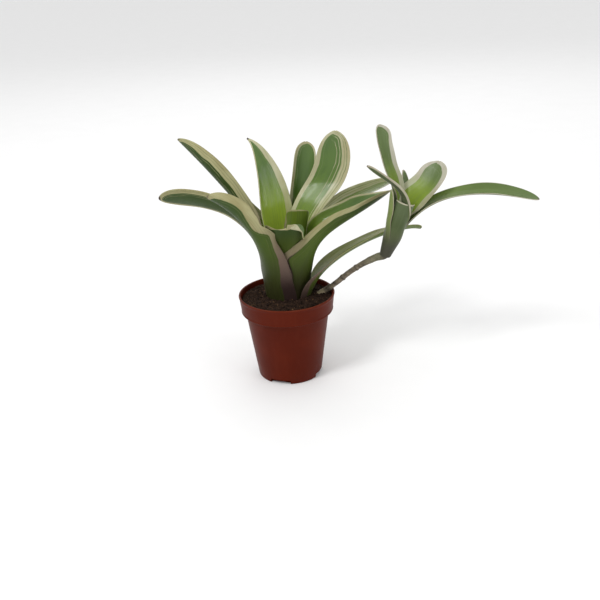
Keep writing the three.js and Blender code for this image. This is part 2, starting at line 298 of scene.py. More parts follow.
@dataclass(frozen=True)
class LeafFinish:
    """Living leaf: green between cream margins, with pinstripes, fine veins and a waxy surface.

    On the under side the foot turns pink and purple, its own colour, and darker with painted shade, up to
    about dusk_height. The lime at the foot is a painted glow of light shining through the blade,
    and the leaf also takes painted shade and a painted shadow line. vein_pitch is the distance from vein to
    vein, and relief is what a bump of 1 stands for, all in millimetres.
    """

    name: str
    face: Face
    deep: Colour
    fresh: Colour
    lime: Colour
    cool: Colour
    cream: Colour = srgb(180, 177, 144)
    tan: Colour = srgb(160, 151, 114)
    pink: Colour = srgb(104, 86, 76)
    purple: Colour = srgb(52, 36, 38)
    dusky: Colour = srgb(42, 40, 22)
    # The colour of painted shade
    tip: Colour = srgb(62, 48, 46)
    dusk_height: float = 34.0
    vein_pitch: float = 0.62
    relief: float = 0.16
    gloss: float = 0.15
    shine: float = 0.34

    def material(self) -> Material:
        """Builds the material, which reads the leaf's own attributes.

        Returns:
            The material.
        """
        graph = Graph(self.name)
        run = graph.attribute("run", "Vector")
        across, along, _ = graph.parts(run)
        hair = graph.streaks(run, (2.6, 0.03, 1.0), 1.0)
        wide = graph.streaks(run, (0.16, 0.05, 1.0), 3.0)
        sway = graph.streaks(run, (0.03, 0.1, 1.0), 2.0)
        broken = graph.streaks(run, (0.05, 0.07, 3.0), 1.0)
        fleck = graph.grain(graph.place(), 900.0, 3.0)
        vein = (across * (TURN / self.vein_pitch)).sine()
        # The band's depth is 1 at the inner border of the cream, and thin lines follow it on both sides
        depth = graph.attribute("band") + (sway - 0.5) * 0.36 + (hair - 0.5) * 0.1
        margin = depth.ramp(1.06, 0.94)
        stripe = graph.attribute("stripe")
        green_line = self.line(depth, 0.38, 0.06) * stripe + self.line(depth, 0.68, 0.07) * stripe * 0.6
        pale_line = self.line(depth, 1.24, 0.06) * broken.ramp(0.38, 0.5)
        pale_line = pale_line + self.line(depth, 1.62, 0.05) * broken.ramp(0.6, 0.5)
        cream_share = margin * (1 - (green_line * 0.8).least(1.0)) + pale_line * stripe.most(0.2) * 0.7
        green = graph.mix(wide.ramp(0.35, 0.65), self.deep, self.fresh)
        green = graph.mix(graph.attribute("cool") * 0.75, green, self.cool)
        # Painted glow: the lime mixed in at the leaf's foot stands for light shining through the blade
        green = graph.mix(graph.attribute("glow"), green, self.lime)
        green = graph.mix((vein * 0.5 + 0.5) * 0.12 + hair.ramp(0.45, 0.7) * 0.3, green, self.cool)
        cream = graph.mix(wide.ramp(0.4, 0.68) * 0.8, self.cream, self.tan)
        # The cream takes some of the same painted glow
        cream = graph.mix(graph.attribute("glow") * 0.35, cream, self.lime)
        cream = graph.mix(hair.ramp(0.5, 0.7) * 0.18, cream, self.fresh)
        # Painted shade: darker stretches of the leaf where shade falls, set leaf by leaf
        dusk = graph.attribute("dusk")
        # On the under face the foot turns pink and purple, its own colour, and darker still with painted
        # shade
        if self.face is Face.OUTER:
            cream = graph.mix(along.ramp(1.8 * self.dusk_height, 0.8 * self.dusk_height), cream, self.pink)
            cream = graph.mix(along.ramp(0.95 * self.dusk_height, 0.3 * self.dusk_height), cream, self.purple)
            dusk = dusk + along.ramp(1.4 * self.dusk_height, 0.25 * self.dusk_height) * 0.85
        colour = graph.mix(cream_share, green, cream)
        # Painted shade, kept weaker on the cream
        colour = graph.mix(dusk.least(1.0) * (1 - cream_share * 0.7), colour, self.dusky)
        # A painted shadow line inside the minus band, where two leaf margins overlap, with a small groove in
        # the bump
        crease = depth.distance_to(1.04).ramp(0.16, 0.05) * graph.attribute("crease")
        colour = graph.mix(crease, colour, self.purple)
        colour = graph.mix(graph.attribute("mucro"), colour, self.tip)
        roughness = self.gloss + (hair - 0.5) * 0.16 + (fleck - 0.5) * 0.08 + margin * 0.06
        height = vein * 0.12 + hair * 0.22 + wide * 0.7 + fleck * 0.02 - crease * 1.5
        return graph.finish(colour, roughness, height, self.relief, self.shine)

    def line(self, depth: Value, at: float, width: float) -> Value:
        """A thin line that follows the margin at a given depth."""
        return depth.distance_to(at).ramp(width, width / 2)


INNER = LeafFinish(
    name="leaf_upper_face",
    face=Face.INNER,
    deep=srgb(62, 90, 26),
    fresh=srgb(86, 114, 38),
    lime=srgb(148, 170, 54),
    cool=srgb(84, 108, 58),
)
OUTER = LeafFinish(
    name="leaf_under_face",
    face=Face.OUTER,
    deep=srgb(46, 62, 19),
    fresh=srgb(55, 73, 25),
    lime=srgb(92, 110, 34),
    cool=srgb(58, 77, 40),
    cream=srgb(162, 158, 118),
    tan=srgb(140, 132, 92),
    gloss=0.4,
    shine=0.12,
)
PUP_INNER = LeafFinish(
    name="pup_leaf_upper_face",
    face=Face.INNER,
    deep=srgb(84, 102, 50),
    fresh=srgb(98, 118, 62),
    lime=srgb(130, 152, 46),
    cool=srgb(94, 112, 68),
    cream=srgb(178, 175, 158),
    tan=srgb(166, 156, 138),
    gloss=0.24,
    shine=0.2,
)
PUP_OUTER = LeafFinish(
    name="pup_leaf_under_face",
    face=Face.OUTER,
    deep=srgb(66, 78, 44),
    fresh=srgb(80, 92, 56),
    lime=srgb(122, 136, 78),
    cool=srgb(86, 98, 68),
    cream=srgb(176, 172, 150),
    tan=srgb(160, 146, 130),
    pink=srgb(134, 122, 112),
    purple=srgb(76, 70, 66),
    dusky=srgb(58, 54, 50),
    dusk_height=16.0,
    gloss=0.4,
    shine=0.15,
)


@dataclass(frozen=True)
class Curl:
    """A stretch of one margin that rolls in or out, on the side 1 or -1 of the midrib.

    The roll starts at the share `start` of the half width and turns by `turn` degrees at its strongest, at
    the share `along` of the length, fading over `spread`.
    """

    side: int
    along: float
    spread: float
    turn: float
    start: float = 0.6

    def bend(self, along: Array, across: Array, half: Array) -> Array:
        """The curvature that the roll adds.

        Args:
            along: Shares of the leaf's length.
            across: Shares of the half width, from -1 to 1.
            half: The half widths there, in millimetres.

        Returns:
            The extra curvature, a millimetre.
        """
        inside = (across * self.side > self.start) * 1.0
        strength = hump(along, self.along, self.spread)
        return math.radians(self.turn) * strength * inside / (half * (1 - self.start))


@dataclass(frozen=True)
class Lobe:
    """A stretch of one margin, round the share `along` of the length, that reaches further or less far."""

    side: int
    along: float
    spread: float
    reach: float

    def swell(self, along: Array, across: Array) -> Array:
        """How much further the margin stands out, in millimetres, on this lobe's side of the midrib."""
        return self.reach * hump(along, self.along, self.spread) * (across * self.side > 0)


@dataclass(frozen=True)
class Crest:
    """A stretch of the leaf's end, round the share `across` of the half width, that reaches further."""

    across: float
    spread: float
    reach: float

    def push(self, along: Array, across: Array) -> Array:
        """How much further the leaf reaches along its length, in millimetres."""
        return self.reach * hump(across, self.across, self.spread) * grow(along, *CREST_GROWS)


@dataclass(frozen=True)
class Leaf:
    """One leaf: a blade round a midrib, as in the frame, with its cream margins.

    Its foot stands on a ring round the rosette's axis at an azimuth, where 0 is +X and 90 is +Y. It rises
    along a lean from the axis, bends and reaches its tip. wrap is half the angle that its foot takes of the
    ring, waist the narrowest width over the widest, cup the radius of the blade's gutter, and roll its turn
    about the midrib. plus and minus are the cream bands of the margin on the side of azimuth + 90 and of
    the other one: pairs of a share of the length and a width. glow is where the lime of the leaf's
    foot ends, over what share it fades and its strength: a painted glow of light shining through the blade.
    dusk is where a stretch of painted shade lies, its spread and its strength, and
    crease the same for a painted shadow line inside the minus band, where two margins overlap;
    stripes say how clear the thin green lines in both bands are. raised is how much less of the foot turns
    purple, in millimetres, and turned_over swaps the finishes of the two faces.
    """

    name: str
    azimuth: float
    ring: float
    wrap: float
    lean: float
    rise: float
    bend: Point
    tip: Point
    width: float
    waist: float
    cup: float
    roll: float
    height: float = 0.0
    thickness: float = 0.8
    edge: float = 0.4
    waist_at: float = 0.3
    broad_at: float = 0.68
    end_at: float = 0.72
    blunt: float = 2.4
    rounding: float = 0.55
    ruffle: float = 0.25
    plus: Pairs = ((0, 1.0), (1, 1.0))
    minus: Pairs = ((0, 1.0), (1, 1.0))
    # The next three place painted light: a painted glow at the foot, painted shade and a painted shadow line
    glow: Point = (0.5, 0.3, 0.6)
    dusk: Point = (0.5, 0.1, 0.0)
    crease: Point = (0.5, 0.1, 0.0)
    stripes: Pair = (0.0, 0.0)
    mucro: float = 0.0
    curls: tuple[Curl, ...] = ()
    lobes: tuple[Lobe, ...] = ()
    crests: tuple[Crest, ...] = ()
    raised: float = 0.0
    turned_over: bool = False
    in_frame: bool = True

    def half_width(self, along: Array, across: Array) -> Array:
        """Half the leaf's width: a sheath that narrows to a waist, then the blade and its blunt end.

        Args:
            along: Shares of the length.
            across: Which side of the midrib is meant, by its sign.

        Returns:
            The half widths, in millimetres.
        """
        blade = self.width / 2
        sheath = self.ring * math.radians(self.wrap)
        waist = blade * self.waist
        low = sheath + (waist - sheath) * smooth(along / self.waist_at)
        high = waist + (blade - waist) * grow(along, self.waist_at, self.broad_at - self.waist_at)
        end = np.maximum(along - self.end_at, 0) / (1 - self.end_at)
        cap = (1 - np.minimum(end, 1) ** self.blunt) ** self.rounding
        plain = np.where(along < self.waist_at, low, high)
        swell = sum((lobe.swell(along, across) for lobe in self.lobes), np.zeros_like(along))
        return np.maximum((plain + swell) * cap, TIP_HALF)

    def surface(
        self, foot: Array, axis: Array, along: Array, across: Array
    ) -> tuple[Array, float]:
        """Points of the leaf's middle surface.

        Args:
            foot: The middle of the rosette's foot, in millimetres.
            axis: The rosette's axis.
            along: Shares of the length.
            across: Shares of the half width, from -1 to 1.

        Returns:
            The points, in millimetres, and the leaf's length.
        """
        first = unit(np.cross((0.0, 1.0, 0.0), axis))
        second = np.cross(axis, first)
        azimuth, lean = math.radians(self.azimuth), math.radians(self.lean)
        out = math.cos(azimuth) * first + math.sin(azimuth) * second
        root = foot + self.ring * out + self.height * axis
        rise = root + self.rise * (math.cos(lean) * axis + math.sin(lean) * out)
        control = np.array([root, rise, self.bend, self.tip])
        fine = np.linspace(0, 1, CURVE_STEPS + 1)
        travelled = distances(bezier(control, fine))
        length = float(travelled[-1])
        at = np.interp(along * length * TIP_SHARE, travelled, fine)
        centre = bezier(control, at)
        step = 1e-3
        tangent = unit(bezier(control, np.minimum(at + step, 1)) - bezier(control, np.maximum(at - step, 0)))
        heading = control[3] - control[2]
        heading = unit(heading - (heading @ axis) * axis)
        blend = grow(along, *SIDE_TURNS)[:, None]
        side = unit(np.cross(axis, out) * (1 - blend) + np.cross(axis, heading) * blend)
        side = unit(side - (side * tangent).sum(1, keepdims=True) * tangent)
        roll = (math.radians(self.roll) * grow(along, *ROLL_GROWS))[:, None]
        side = side * np.cos(roll) + np.cross(tangent, side) * np.sin(roll)
        inward = np.cross(tangent, side)
        sheath = self.ring + math.tan(lean) * along * length
        gutter = grow(along, *GUTTER_GROWS)
        bend = (1 - gutter) / sheath + gutter / self.cup
        over, up = self.section(along, across, self.half_width(along, across), bend)
        ripple = np.sin(RUFFLES * TURN * along + 1) * grow(along, *RUFFLE_GROWS)
        up = up + self.ruffle * ripple * across**4
        forward = sum((crest.push(along, across) for crest in self.crests), np.zeros_like(along))
        return centre + side * over[:, None] + inward * up[:, None] + tangent * forward[:, None], length

    def section(
        self, along: Array, across: Array, half: Array, bend: Array
    ) -> tuple[Array, Array]:
        """The blade's cross-section, walked out from the midrib so that a margin can roll.

        Args:
            along: Shares of the length.
            across: Shares of the half width, from -1 to 1.
            half: The half widths there.
            bend: The gutter's curvature there.

        Returns:
            How far over and how far up each point is, in millimetres.
        """
        over, up, angle = np.zeros_like(along), np.zeros_like(along), np.zeros_like(along)
        stride = across / SECTION_STEPS * half
        for step in range(SECTION_STEPS):
            at = across * (step + 0.5) / SECTION_STEPS
            more = bend + sum((curl.bend(along, at, half) for curl in self.curls), np.zeros_like(along))
            middle = angle + stride * more / 2
            over = over + stride * np.cos(middle)
            up = up + stride * np.sin(middle)
            angle = angle + stride * more
        return over, up

    def bands(self, along: Array, across: Array, length: float) -> Array:
        """How deep each point lies inside the margin, where 1 is the inner border of the cream.

        Args:
            along: Shares of the length.
            across: Shares of the half width.
            length: The leaf's length, in millimetres.

        Returns:
            The depths over the width of the nearer cream band.
        """
        edge = np.linspace(0, 1, RIM_STEPS + 1)
        flat = np.stack([across * self.half_width(along, across), along * length], 1)
        found = []
        for sign, knots in ((1, self.plus), (-1, self.minus)):
            rim = np.stack([sign * self.half_width(edge, np.full_like(edge, sign)), edge * length], 1)
            rim = np.concatenate([rim, [[0.0, length]]])
            share, width = np.array(knots, float).T
            found.append(distance_to_line(flat, rim) / np.interp(along, share, width))
        return np.minimum(*found)

    def mark(self, blade: Piece, along: Array, across: Array, run: Array) -> None:
        """Gives the blade the attributes that its finishes read.

        Args:
            blade: The blade.
            along: Shares of the length.
            across: Shares of the half width.
            run: Where each point lies on the flat blade, in millimetres.
        """
        start, fade, strength = self.glow
        dark_at, dark_spread, dark = self.dusk
        shadow_line_at, shadow_line_spread, shadow_line_strength = self.crease
        # Sets the painted glow, the painted shade and the painted shadow line that the finishes read
        attach(
            blade,
            run=run + (0, self.raised, 0),
            band=self.bands(along, across, run[:, 1].max()),
            glow=strength * (1 - grow(along, start, fade)),
            dusk=dark * hump(along, dark_at, dark_spread),
            crease=shadow_line_strength * hump(along, shadow_line_at, shadow_line_spread) * (across < 0),
            stripe=np.where(across > 0, *self.stripes),
            cool=grow(along, *COOL_GROWS),
            mucro=self.mucro * grow(along, *MUCRO_GROWS),
        )

    def build(self, foot: Point, axis: Point, finishes: Sequence[Material], number: int) -> Piece:
        """Models the leaf from a grid and dresses its two faces.

        Args:
            foot: The middle of the rosette's foot, in millimetres.
            axis: The rosette's axis.
            finishes: The materials of the outer and the inner face.
            number: The leaf's number on the plant, which gives it a pattern of its own.

        Returns:
            The leaf.
        """
        deselect()
        bpy.ops.mesh.primitive_grid_add(x_subdivisions=GRID_ACROSS, y_subdivisions=GRID_ALONG)
        blade = bpy.context.object
        across, rows, _ = points_of(blade).T
        along = 1 - (1 - np.clip((rows + 1) / 2, 0, 1)) ** CROWDING
        points, length = self.surface(np.array(foot), np.array(axis), along, across)
        set_points(blade, points * MM)
        half = self.half_width(along, across)
        pattern = np.full_like(along, PATTERN_STEP * number)
        self.mark(blade, along, across, np.stack([across * half, along * length, pattern], 1))
        group = blade.vertex_groups.new(name="wall")
        depth = self.edge + (self.thickness - self.edge) * (1 - across**2)
        for index, share in enumerate(depth / self.thickness):
            group.add([index], float(share), "REPLACE")
        for finish in finishes[::-1] if self.turned_over else finishes:
            blade.data.materials.append(finish)
        wall = blade.modifiers.new("wall", "SOLIDIFY")
        wall.thickness = self.thickness * MM
        wall.offset = 0.0
        wall.vertex_group = "wall"
        wall.material_offset = 1
        soften = blade.modifiers.new("soften", "SUBSURF")
        soften.levels = soften.render_levels = 1
        apply_modifiers(blade)
        blade.vertex_groups.clear()
        bpy.ops.object.shade_smooth()
        return blade


def bezier(control: Array, at: Array) -> Array:
    """Points of a cubic curve.

    Args:
        control: Its four control points.
        at: Where on it, from 0 to 1.

    Returns:
        The points.
    """
    at = at[:, None]
    rest = 1 - at
    ends = rest**3 * control[0] + at**3 * control[3]
    return ends + 3 * rest**2 * at * control[1] + 3 * rest * at**2 * control[2]


def distances(points: Array) -> Array:
    """How far each point of a line lies along it, from 0 at the first."""
    return np.concatenate([[0.0], np.cumsum(np.linalg.norm(np.diff(points, axis=0), axis=1))])


def distance_to_line(points: Array, line: Array) -> Array:
    """How far each point of a plane is from a line through given points."""
    start, step = line[:-1], np.diff(line, axis=0)
    squared = np.maximum((step**2).sum(1), 1e-12)
    away = points[:, None] - start[None]
    share = np.clip((away * step[None]).sum(-1) / squared, 0, 1)
    return np.sqrt(((away - share[..., None] * step[None]) ** 2).sum(-1)).min(1)


def deselect() -> None:
    """Leaves nothing selected, so that an operator acts on the new piece alone."""
    bpy.ops.object.select_all(action="DESELECT")


def choose(piece: Piece) -> None:
    """Makes the piece the one that operators act on."""
    deselect()
    piece.select_set(True)
    bpy.context.view_layer.objects.active = piece


def link(name: str, data: Any) -> Piece:
    """A new object with that name and data, put in the scene."""
    made = bpy.data.objects.new(name, data)
    bpy.context.scene.collection.objects.link(made)
    return made


def edit(*steps: Callable[[], Any]) -> None:
    """Runs mesh operators in edit mode on all of the new piece."""
    bpy.ops.object.mode_set(mode="EDIT")
    bpy.ops.mesh.select_all(action="SELECT")
    for step in steps:
        step()
    bpy.ops.object.mode_set(mode="OBJECT")


def points_of(piece: Piece) -> Array:
    """The piece's points, in metres."""
    found = np.empty(len(piece.data.vertices) * 3)
    piece.data.vertices.foreach_get("co", found)
    return found.reshape(-1, 3)


def set_points(piece: Piece, points: Array) -> None:
    """Moves the piece's points, in metres."""
    piece.data.vertices.foreach_set("co", np.asarray(points, float).ravel())
    piece.data.update()


def attach(piece: Piece, **marks: Array) -> None:
    """Gives each point of the piece a number or a vector under each of the names."""
    for name, values in marks.items():
        kind, key = ("FLOAT", "value") if values.ndim == 1 else ("FLOAT_VECTOR", "vector")
        attribute = piece.data.attributes.new(name, kind, "POINT")
        attribute.data.foreach_set(key, np.asarray(values, np.float32).ravel())


def apply_modifiers(piece: Piece) -> None:
    """Makes the piece's modifiers part of its mesh."""
    choose(piece)
    for modifier in list(piece.modifiers):
        bpy.ops.object.modifier_apply(modifier=modifier.name)


def dress(piece: Piece, finish: Material) -> None:
    """Gives the whole piece one finish."""
    piece.data.materials.clear()
    piece.data.materials.append(finish)


def settle(piece: Piece, name: str, slot: str, *nodes: str) -> None:
    """Names a finished piece, sets it on the body and hides the nodes of the frame that it stands for.

    Args:
        piece: The piece.
        name: Its name.
        slot: A material slot for it; not used.
        nodes: The nodes of the frame that it stands for.
    """
    piece.name = name
    piece.data.name = name
    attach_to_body(piece, "root")
    if nodes:
        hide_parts(*nodes)
    log.info("%s: %d faces", name, len(piece.data.polygons))


def turned(outline: Sequence[Pair], sides: int) -> Piece:
    """Turns an outline round the upright axis, ring by ring, and closes both ends.

    Args:
        outline: Radii and heights, in millimetres, from one end to the other.
        sides: How many sides a ring has.

    Returns:
        The closed solid.
    """
    deselect()
    radius, height = outline[0]
    place = (0, 0, height * MM)
    bpy.ops.mesh.primitive_circle_add(vertices=sides, radius=radius * MM, fill_type="NGON", location=place)
    piece = bpy.context.object
    piece.data.transform(Matrix.Translation(place))
    piece.location = (0, 0, 0)
    bpy.ops.object.mode_set(mode="EDIT")
    bpy.ops.mesh.select_all(action="SELECT")
    for (before, low), (after, high) in zip(outline, outline[1:]):
        move = {"value": (0, 0, (high - low) * MM)}
        bpy.ops.mesh.extrude_region_move(TRANSFORM_OT_translate=move)
        share = after / before
        bpy.ops.transform.resize(value=(share, share, 1), center_override=(0, 0, high * MM))
    bpy.ops.object.mode_set(mode="OBJECT")
    edit(lambda: bpy.ops.mesh.normals_make_consistent(inside=False))
    return piece


@dataclass(frozen=True)
class PotPlastic:
    """Thin moulded plastic in a terracotta brown: satin, with scuffs and soil dust, and paler along the rim's
    top with wear and a painted highlight.
    """

    colour: Colour = srgb(82, 24, 7)
    dark: Colour = srgb(74, 20, 6)
    # The colour of soil dust and scuffs, also used for the rim's wear and painted highlight
    dust_and_rim_sheen: Colour = srgb(102, 47, 30)
    rim_pale_from: float = 49.2
    rim_pale_to: float = 49.9
    relief: float = 0.1
    shine: float = 0.07

    def material(self) -> Material:
        """Builds the material.

        Returns:
            The material.
        """
        graph = Graph("terracotta_plastic")
        place = graph.place()
        height_up = graph.parts(place)[2]
        cloud = graph.grain(place, 60.0, 3.0)
        streak = graph.streaks(place, (420.0, 420.0, 26.0), 2.0)
        scuff = graph.streaks(place, (120.0, 120.0, 420.0), 5.0, 0.7)
        fine = graph.grain(place, 2600.0, 2.0)
        colour = graph.mix(cloud.ramp(0.35, 0.65) * 0.7, self.colour, self.dark)
        colour = graph.mix(streak.ramp(0.5, 0.7) * 0.06, colour, self.dust_and_rim_sheen)
        colour = graph.mix(scuff.ramp(0.64, 0.76) * 0.3, colour, self.dust_and_rim_sheen)
        # Paler along the rim's top: partly wear and partly a painted highlight on the lip
        worn = height_up.ramp(self.rim_pale_from * MM, self.rim_pale_to * MM) * (0.35 + scuff.ramp(0.4, 0.6) * 0.35)
        colour = graph.mix(worn, colour, self.dust_and_rim_sheen)
        roughness = 0.42 + (cloud - 0.5) * 0.12 + scuff.ramp(0.6, 0.75) * 0.15
        height = streak * 0.2 + fine * 0.25 + cloud * 0.5
        return graph.finish(colour, roughness, height, self.relief, self.shine)


@dataclass(frozen=True)
class Pot:
    """The nursery pot: a tapered shell with a shoulder, a beaded rim band and four drain notches."""

    foot: Pairs = ((0.6, 0), (8, 0), (17.2, 0), (17.9, 0.08), (18.3, 0.32), (18.5, 0.8))
    wall: Pairs = ((19.8, 10), (21.2, 19.8), (22.6, 29.5), (23.75, 37.6), (23.95, 38.5), (24.2, 39))
    shoulder: Pairs = ((24.7, 39.45), (25.6, 39.68), (26.05, 39.75), (26.32, 39.95), (26.44, 40.3))
    band: Pairs = ((26.4, 40.7), (26.28, 40.95), (26.32, 41.3), (26.75, 44.8), (27.12, 48))
    bead: Pairs = (
        (27.2, 48.5), (27.36, 48.8), (27.48, 49.1), (27.5, 49.45), (27.4, 49.78), (27.15, 49.96), (26.85, 50),
        (26.6, 49.93), (26.42, 49.7), (26.25, 49),
    )
    inside: Pairs = (
        (25.9, 45), (25.45, 41.4), (24.9, 40.6), (23.6, 39.6), (23.0, 38.9), (20.2, 20), (17.6, 2.6),
        (17.2, 1.6), (16.5, 1.2), (8, 1.2), (0.6, 1.2),
    )
    notch_angles: tuple[float, ...] = (-20, 70, 160, 250)
    notch_radius: float = 18.5
    notch_reach: float = 3.4
    notch_width: float = 12.0
    notch_height: float = 2.6
    notch_corner: float = 0.7
    sides: int = 128

    def build(self) -> None:
        """Turns the shell, cuts the notches and dresses the pot."""
        outline = self.foot + self.wall + self.shoulder + self.band + self.bead + self.inside
        pot = turned(outline, self.sides)
        for angle in self.notch_angles:
            cutter = self.cutter(angle)
            cut = pot.modifiers.new("notch", "BOOLEAN")
            cut.operation = "DIFFERENCE"
            cut.solver = "EXACT"
            cut.object = cutter
            apply_modifiers(pot)
            bpy.data.objects.remove(cutter)
        dress(pot, PotPlastic().material())
        bpy.ops.object.shade_smooth_by_angle(angle=math.radians(32))
        settle(pot, "nursery_pot", "pot", "pot")

    def cutter(self, angle: float) -> Piece:
        """A block with rounded edges that cuts one drain notch.

        Args:
            angle: Where it stands round the pot, in degrees.

        Returns:
            The block.
        """
        deselect()
        bpy.ops.mesh.primitive_cube_add(size=1)
        block = bpy.context.object
        out = Matrix.Translation((self.notch_radius * MM, 0, 0))
        size = Vector((2 * self.notch_reach, self.notch_width, 2 * self.notch_height)) * MM
        block.data.transform(Matrix.Diagonal((*size, 1)))
        edit(lambda: bpy.ops.mesh.bevel(offset=self.notch_corner * MM, segments=3, affect="EDGES"))
        block.data.transform(Matrix.Rotation(math.radians(angle), 4, "Z") @ out)
        return block


@dataclass(frozen=True)
class SoilFinish:
    """Damp potting mix: near black, with browner patches and paler specks."""

    name: str
    dark: Colour
    light: Colour
    fleck: Colour
    relief: float = 0.3
    shine: float = 0.12

    def material(self) -> Material:
        """Builds the material.

        Returns:
            The material.
        """
        graph = Graph(self.name)
        place = graph.place()
        cloud = graph.grain(place, 260.0, 4.0, 0.6)
        fine = graph.grain(place, 1700.0, 3.0, 0.65)
        lump = graph.cells(place, 900.0)
        tone = graph.attribute("tone")
        colour = graph.mix((cloud.ramp(0.35, 0.7) * 0.4 + tone * 0.6), self.dark, self.light)
        colour = graph.mix(fine.ramp(0.66, 0.76) * 0.4, colour, self.fleck)
        roughness = 0.9 - fine.ramp(0.55, 0.8) * 0.25
        return graph.finish(colour, roughness, fine + lump * 0.8, self.relief, self.shine)


MIX = SoilFinish("potting_mix", srgb(27, 18, 14), srgb(62, 45, 34), srgb(92, 70, 52))
BARK = SoilFinish("bark_flecks", srgb(62, 44, 30), srgb(118, 90, 62), srgb(140, 116, 86), 0.1)


@dataclass
class Soil:
    """The potting mix: an uneven surface with crumbs, bark flecks and fibres on it.

    Inside the circle of radius clear round the heart, under the leaves' feet, the surface sinks by hollow.
    """

    body: Pairs = ((0.6, 1.5), (16.0, 1.5), (16.9, 2.4), (22.5, 38.9), (24.2, 41.2), (25.3, 45.6))
    edge_height: float = 47.0
    mound: float = 1.5
    radius: float = 25.7
    rings: int = 56
    sides: int = 144
    heart: Pair = (1.0, 4.0)
    clear: float = 12.6
    hollow: float = 3.2
    crumbs: int = 2500
    flecks: int = 190
    fibres: int = 110
    favour_small: float = 2.2
    tilt: float = 0.5
    rng: random.Random = field(default_factory=lambda: random.Random(41))

    def level(self, x: float, y: float) -> float:
        """The surface's height at a place, in millimetres."""
        share = min(math.hypot(x, y) / self.radius, 1.0)
        swell = 0.55 * noise.noise(Vector((x * 0.16, y * 0.16, 3.1)))
        lumps = 0.6 * noise.noise(Vector((x * 0.45, y * 0.45, 8.4)))
        crumb = 0.34 * noise.noise(Vector((x * 1.3, y * 1.3, 1.7)))
        height = self.edge_height + self.mound * (1 - share**2) + (swell + lumps) * (1 - share**6) + crumb
        inside = math.hypot(x - self.heart[0], y - self.heart[1])
        return height - self.hollow * float(smooth((self.clear - 0.6 - inside) / 1.6))

    def build(self) -> None:
        """Builds the ground and all that lies on it."""
        ground = self.ground()
        mix, bark = MIX.material(), BARK.material()
        dress(ground, mix)
        settle(ground, "potting_mix", "soil", "soil")
        lumps = [self.crumb(seed) for seed in range(20)]
        chips = [self.chip(seed, 1.0, 0.6) for seed in range(8)]
        splinters = [self.chip(seed, 4.5, 0.16) for seed in range(8)]
        for name, finish, scraps, count, sizes, sunk in (
            ("soil_crumbs", mix, lumps, self.crumbs, (0.3, 1.7), 0.2),
            ("bark_flecks", bark, chips, self.flecks, (0.3, 1.3), 0.5),
            ("root_fibres", bark, splinters, self.fibres, (0.5, 1.0), 0.3),
        ):
            scattered = self.scatter(scraps, count, sizes, sunk)
            dress(scattered, finish)
            settle(scattered, name, "soil")

    def ground(self) -> Piece:
        """The body of the mix, turned to the pot's inside, with its top made uneven."""
        reach = self.radius - 0.5
        top = [(self.radius - reach * ring / self.rings, self.edge_height) for ring in range(self.rings + 1)]
        ground = turned([*self.body, *top], self.sides)
        points = points_of(ground) / MM
        for index, (x, y, z) in enumerate(points):
            if z > self.edge_height - 0.01:
                points[index, 2] = self.level(x, y)
        set_points(ground, points * MM)
        attach(ground, tone=np.array([0.5 + noise.noise(Vector(p) * 0.4) for p in points]))
        choose(ground)
        bpy.ops.object.shade_smooth()
        return ground

    def crumb(self, seed: int) -> Scrap:
        """A lumpy crumb, as points about one across and triangles."""

        def lumpy(points: Array) -> Array:
            """Pushes each point in or out and flattens the crumb."""
            pushed = [1 + 0.75 * noise.noise(Vector(p) * 2.4 + Vector((seed * 3.7, 0, 0))) for p in points]
            return points * np.array(pushed)[:, None] * (1, 0.85, 0.7)

        return scrap(lambda: bpy.ops.mesh.primitive_ico_sphere_add(subdivisions=1, radius=0.5), lumpy)

    def chip(self, seed: int, length: float, breadth: float) -> Scrap:
        """A flat splinter with worn corners.

        Args:
            seed: Which of the splinters it is; some are longer than others.
            length: Their least length.
            breadth: Their breadth.

        Returns:
            Its points and triangles.
        """

        def worn(points: Array) -> Array:
            """Draws the splinter out and wears its corners."""
            shift = Vector((0, seed * 5.1, 0))
            wobble = [0.4 * breadth * noise.noise(Vector(p) * 3 + shift) for p in points]
            drawn = points * (length * (1 + 0.5 * (seed % 3)), breadth, 1.2 * breadth)
            return drawn + np.array(wobble)[:, None]

        return scrap(lambda: bpy.ops.mesh.primitive_cylinder_add(vertices=6, radius=0.5, depth=0.3), worn)

    def scatter(self, scraps: list[Scrap], count: int, sizes: Pair, sunk: float) -> Piece:
        """Copies small pieces over the surface, clear of the leaves, and joins them.

        Args:
            scraps: The pieces to copy, one unit across.
            count: How many copies.
            sizes: The smallest and largest size, in millimetres.
            sunk: How far of their size they sit in the ground.

        Returns:
            The joined copies.
        """
        rng = self.rng
        points, faces, tones, base = [], [], [], 0
        while len(points) < count:
            angle, reach = rng.uniform(0, TURN), self.radius * math.sqrt(rng.random())
            x, y = reach * math.cos(angle), reach * math.sin(angle)
            size = sizes[0] + (sizes[1] - sizes[0]) * rng.random() ** self.favour_small
            if reach + size * 0.6 > self.radius:
                continue
            if math.hypot(x - self.heart[0], y - self.heart[1]) < self.clear + size * 0.4:
                continue
            shape, triangles = rng.choice(scraps)
            turn = Matrix.Rotation(rng.uniform(0, TURN), 3, "Z")
            turn = turn @ Matrix.Rotation(rng.uniform(-self.tilt, self.tilt), 3, "X")
            lift = self.level(x, y) + size * (0.25 - sunk * rng.random())
            points.append(shape @ np.array(turn).T * size + (x, y, lift))
            faces.append(triangles + base)
            tones.append(np.full(len(shape), rng.random()))
            base += len(shape)
        mesh = bpy.data.meshes.new("scattered")
        mesh.from_pydata((np.concatenate(points) * MM).tolist(), [], np.concatenate(faces).tolist())
        joined = link("scattered", mesh)
        attach(joined, tone=np.concatenate(tones))
        return joined


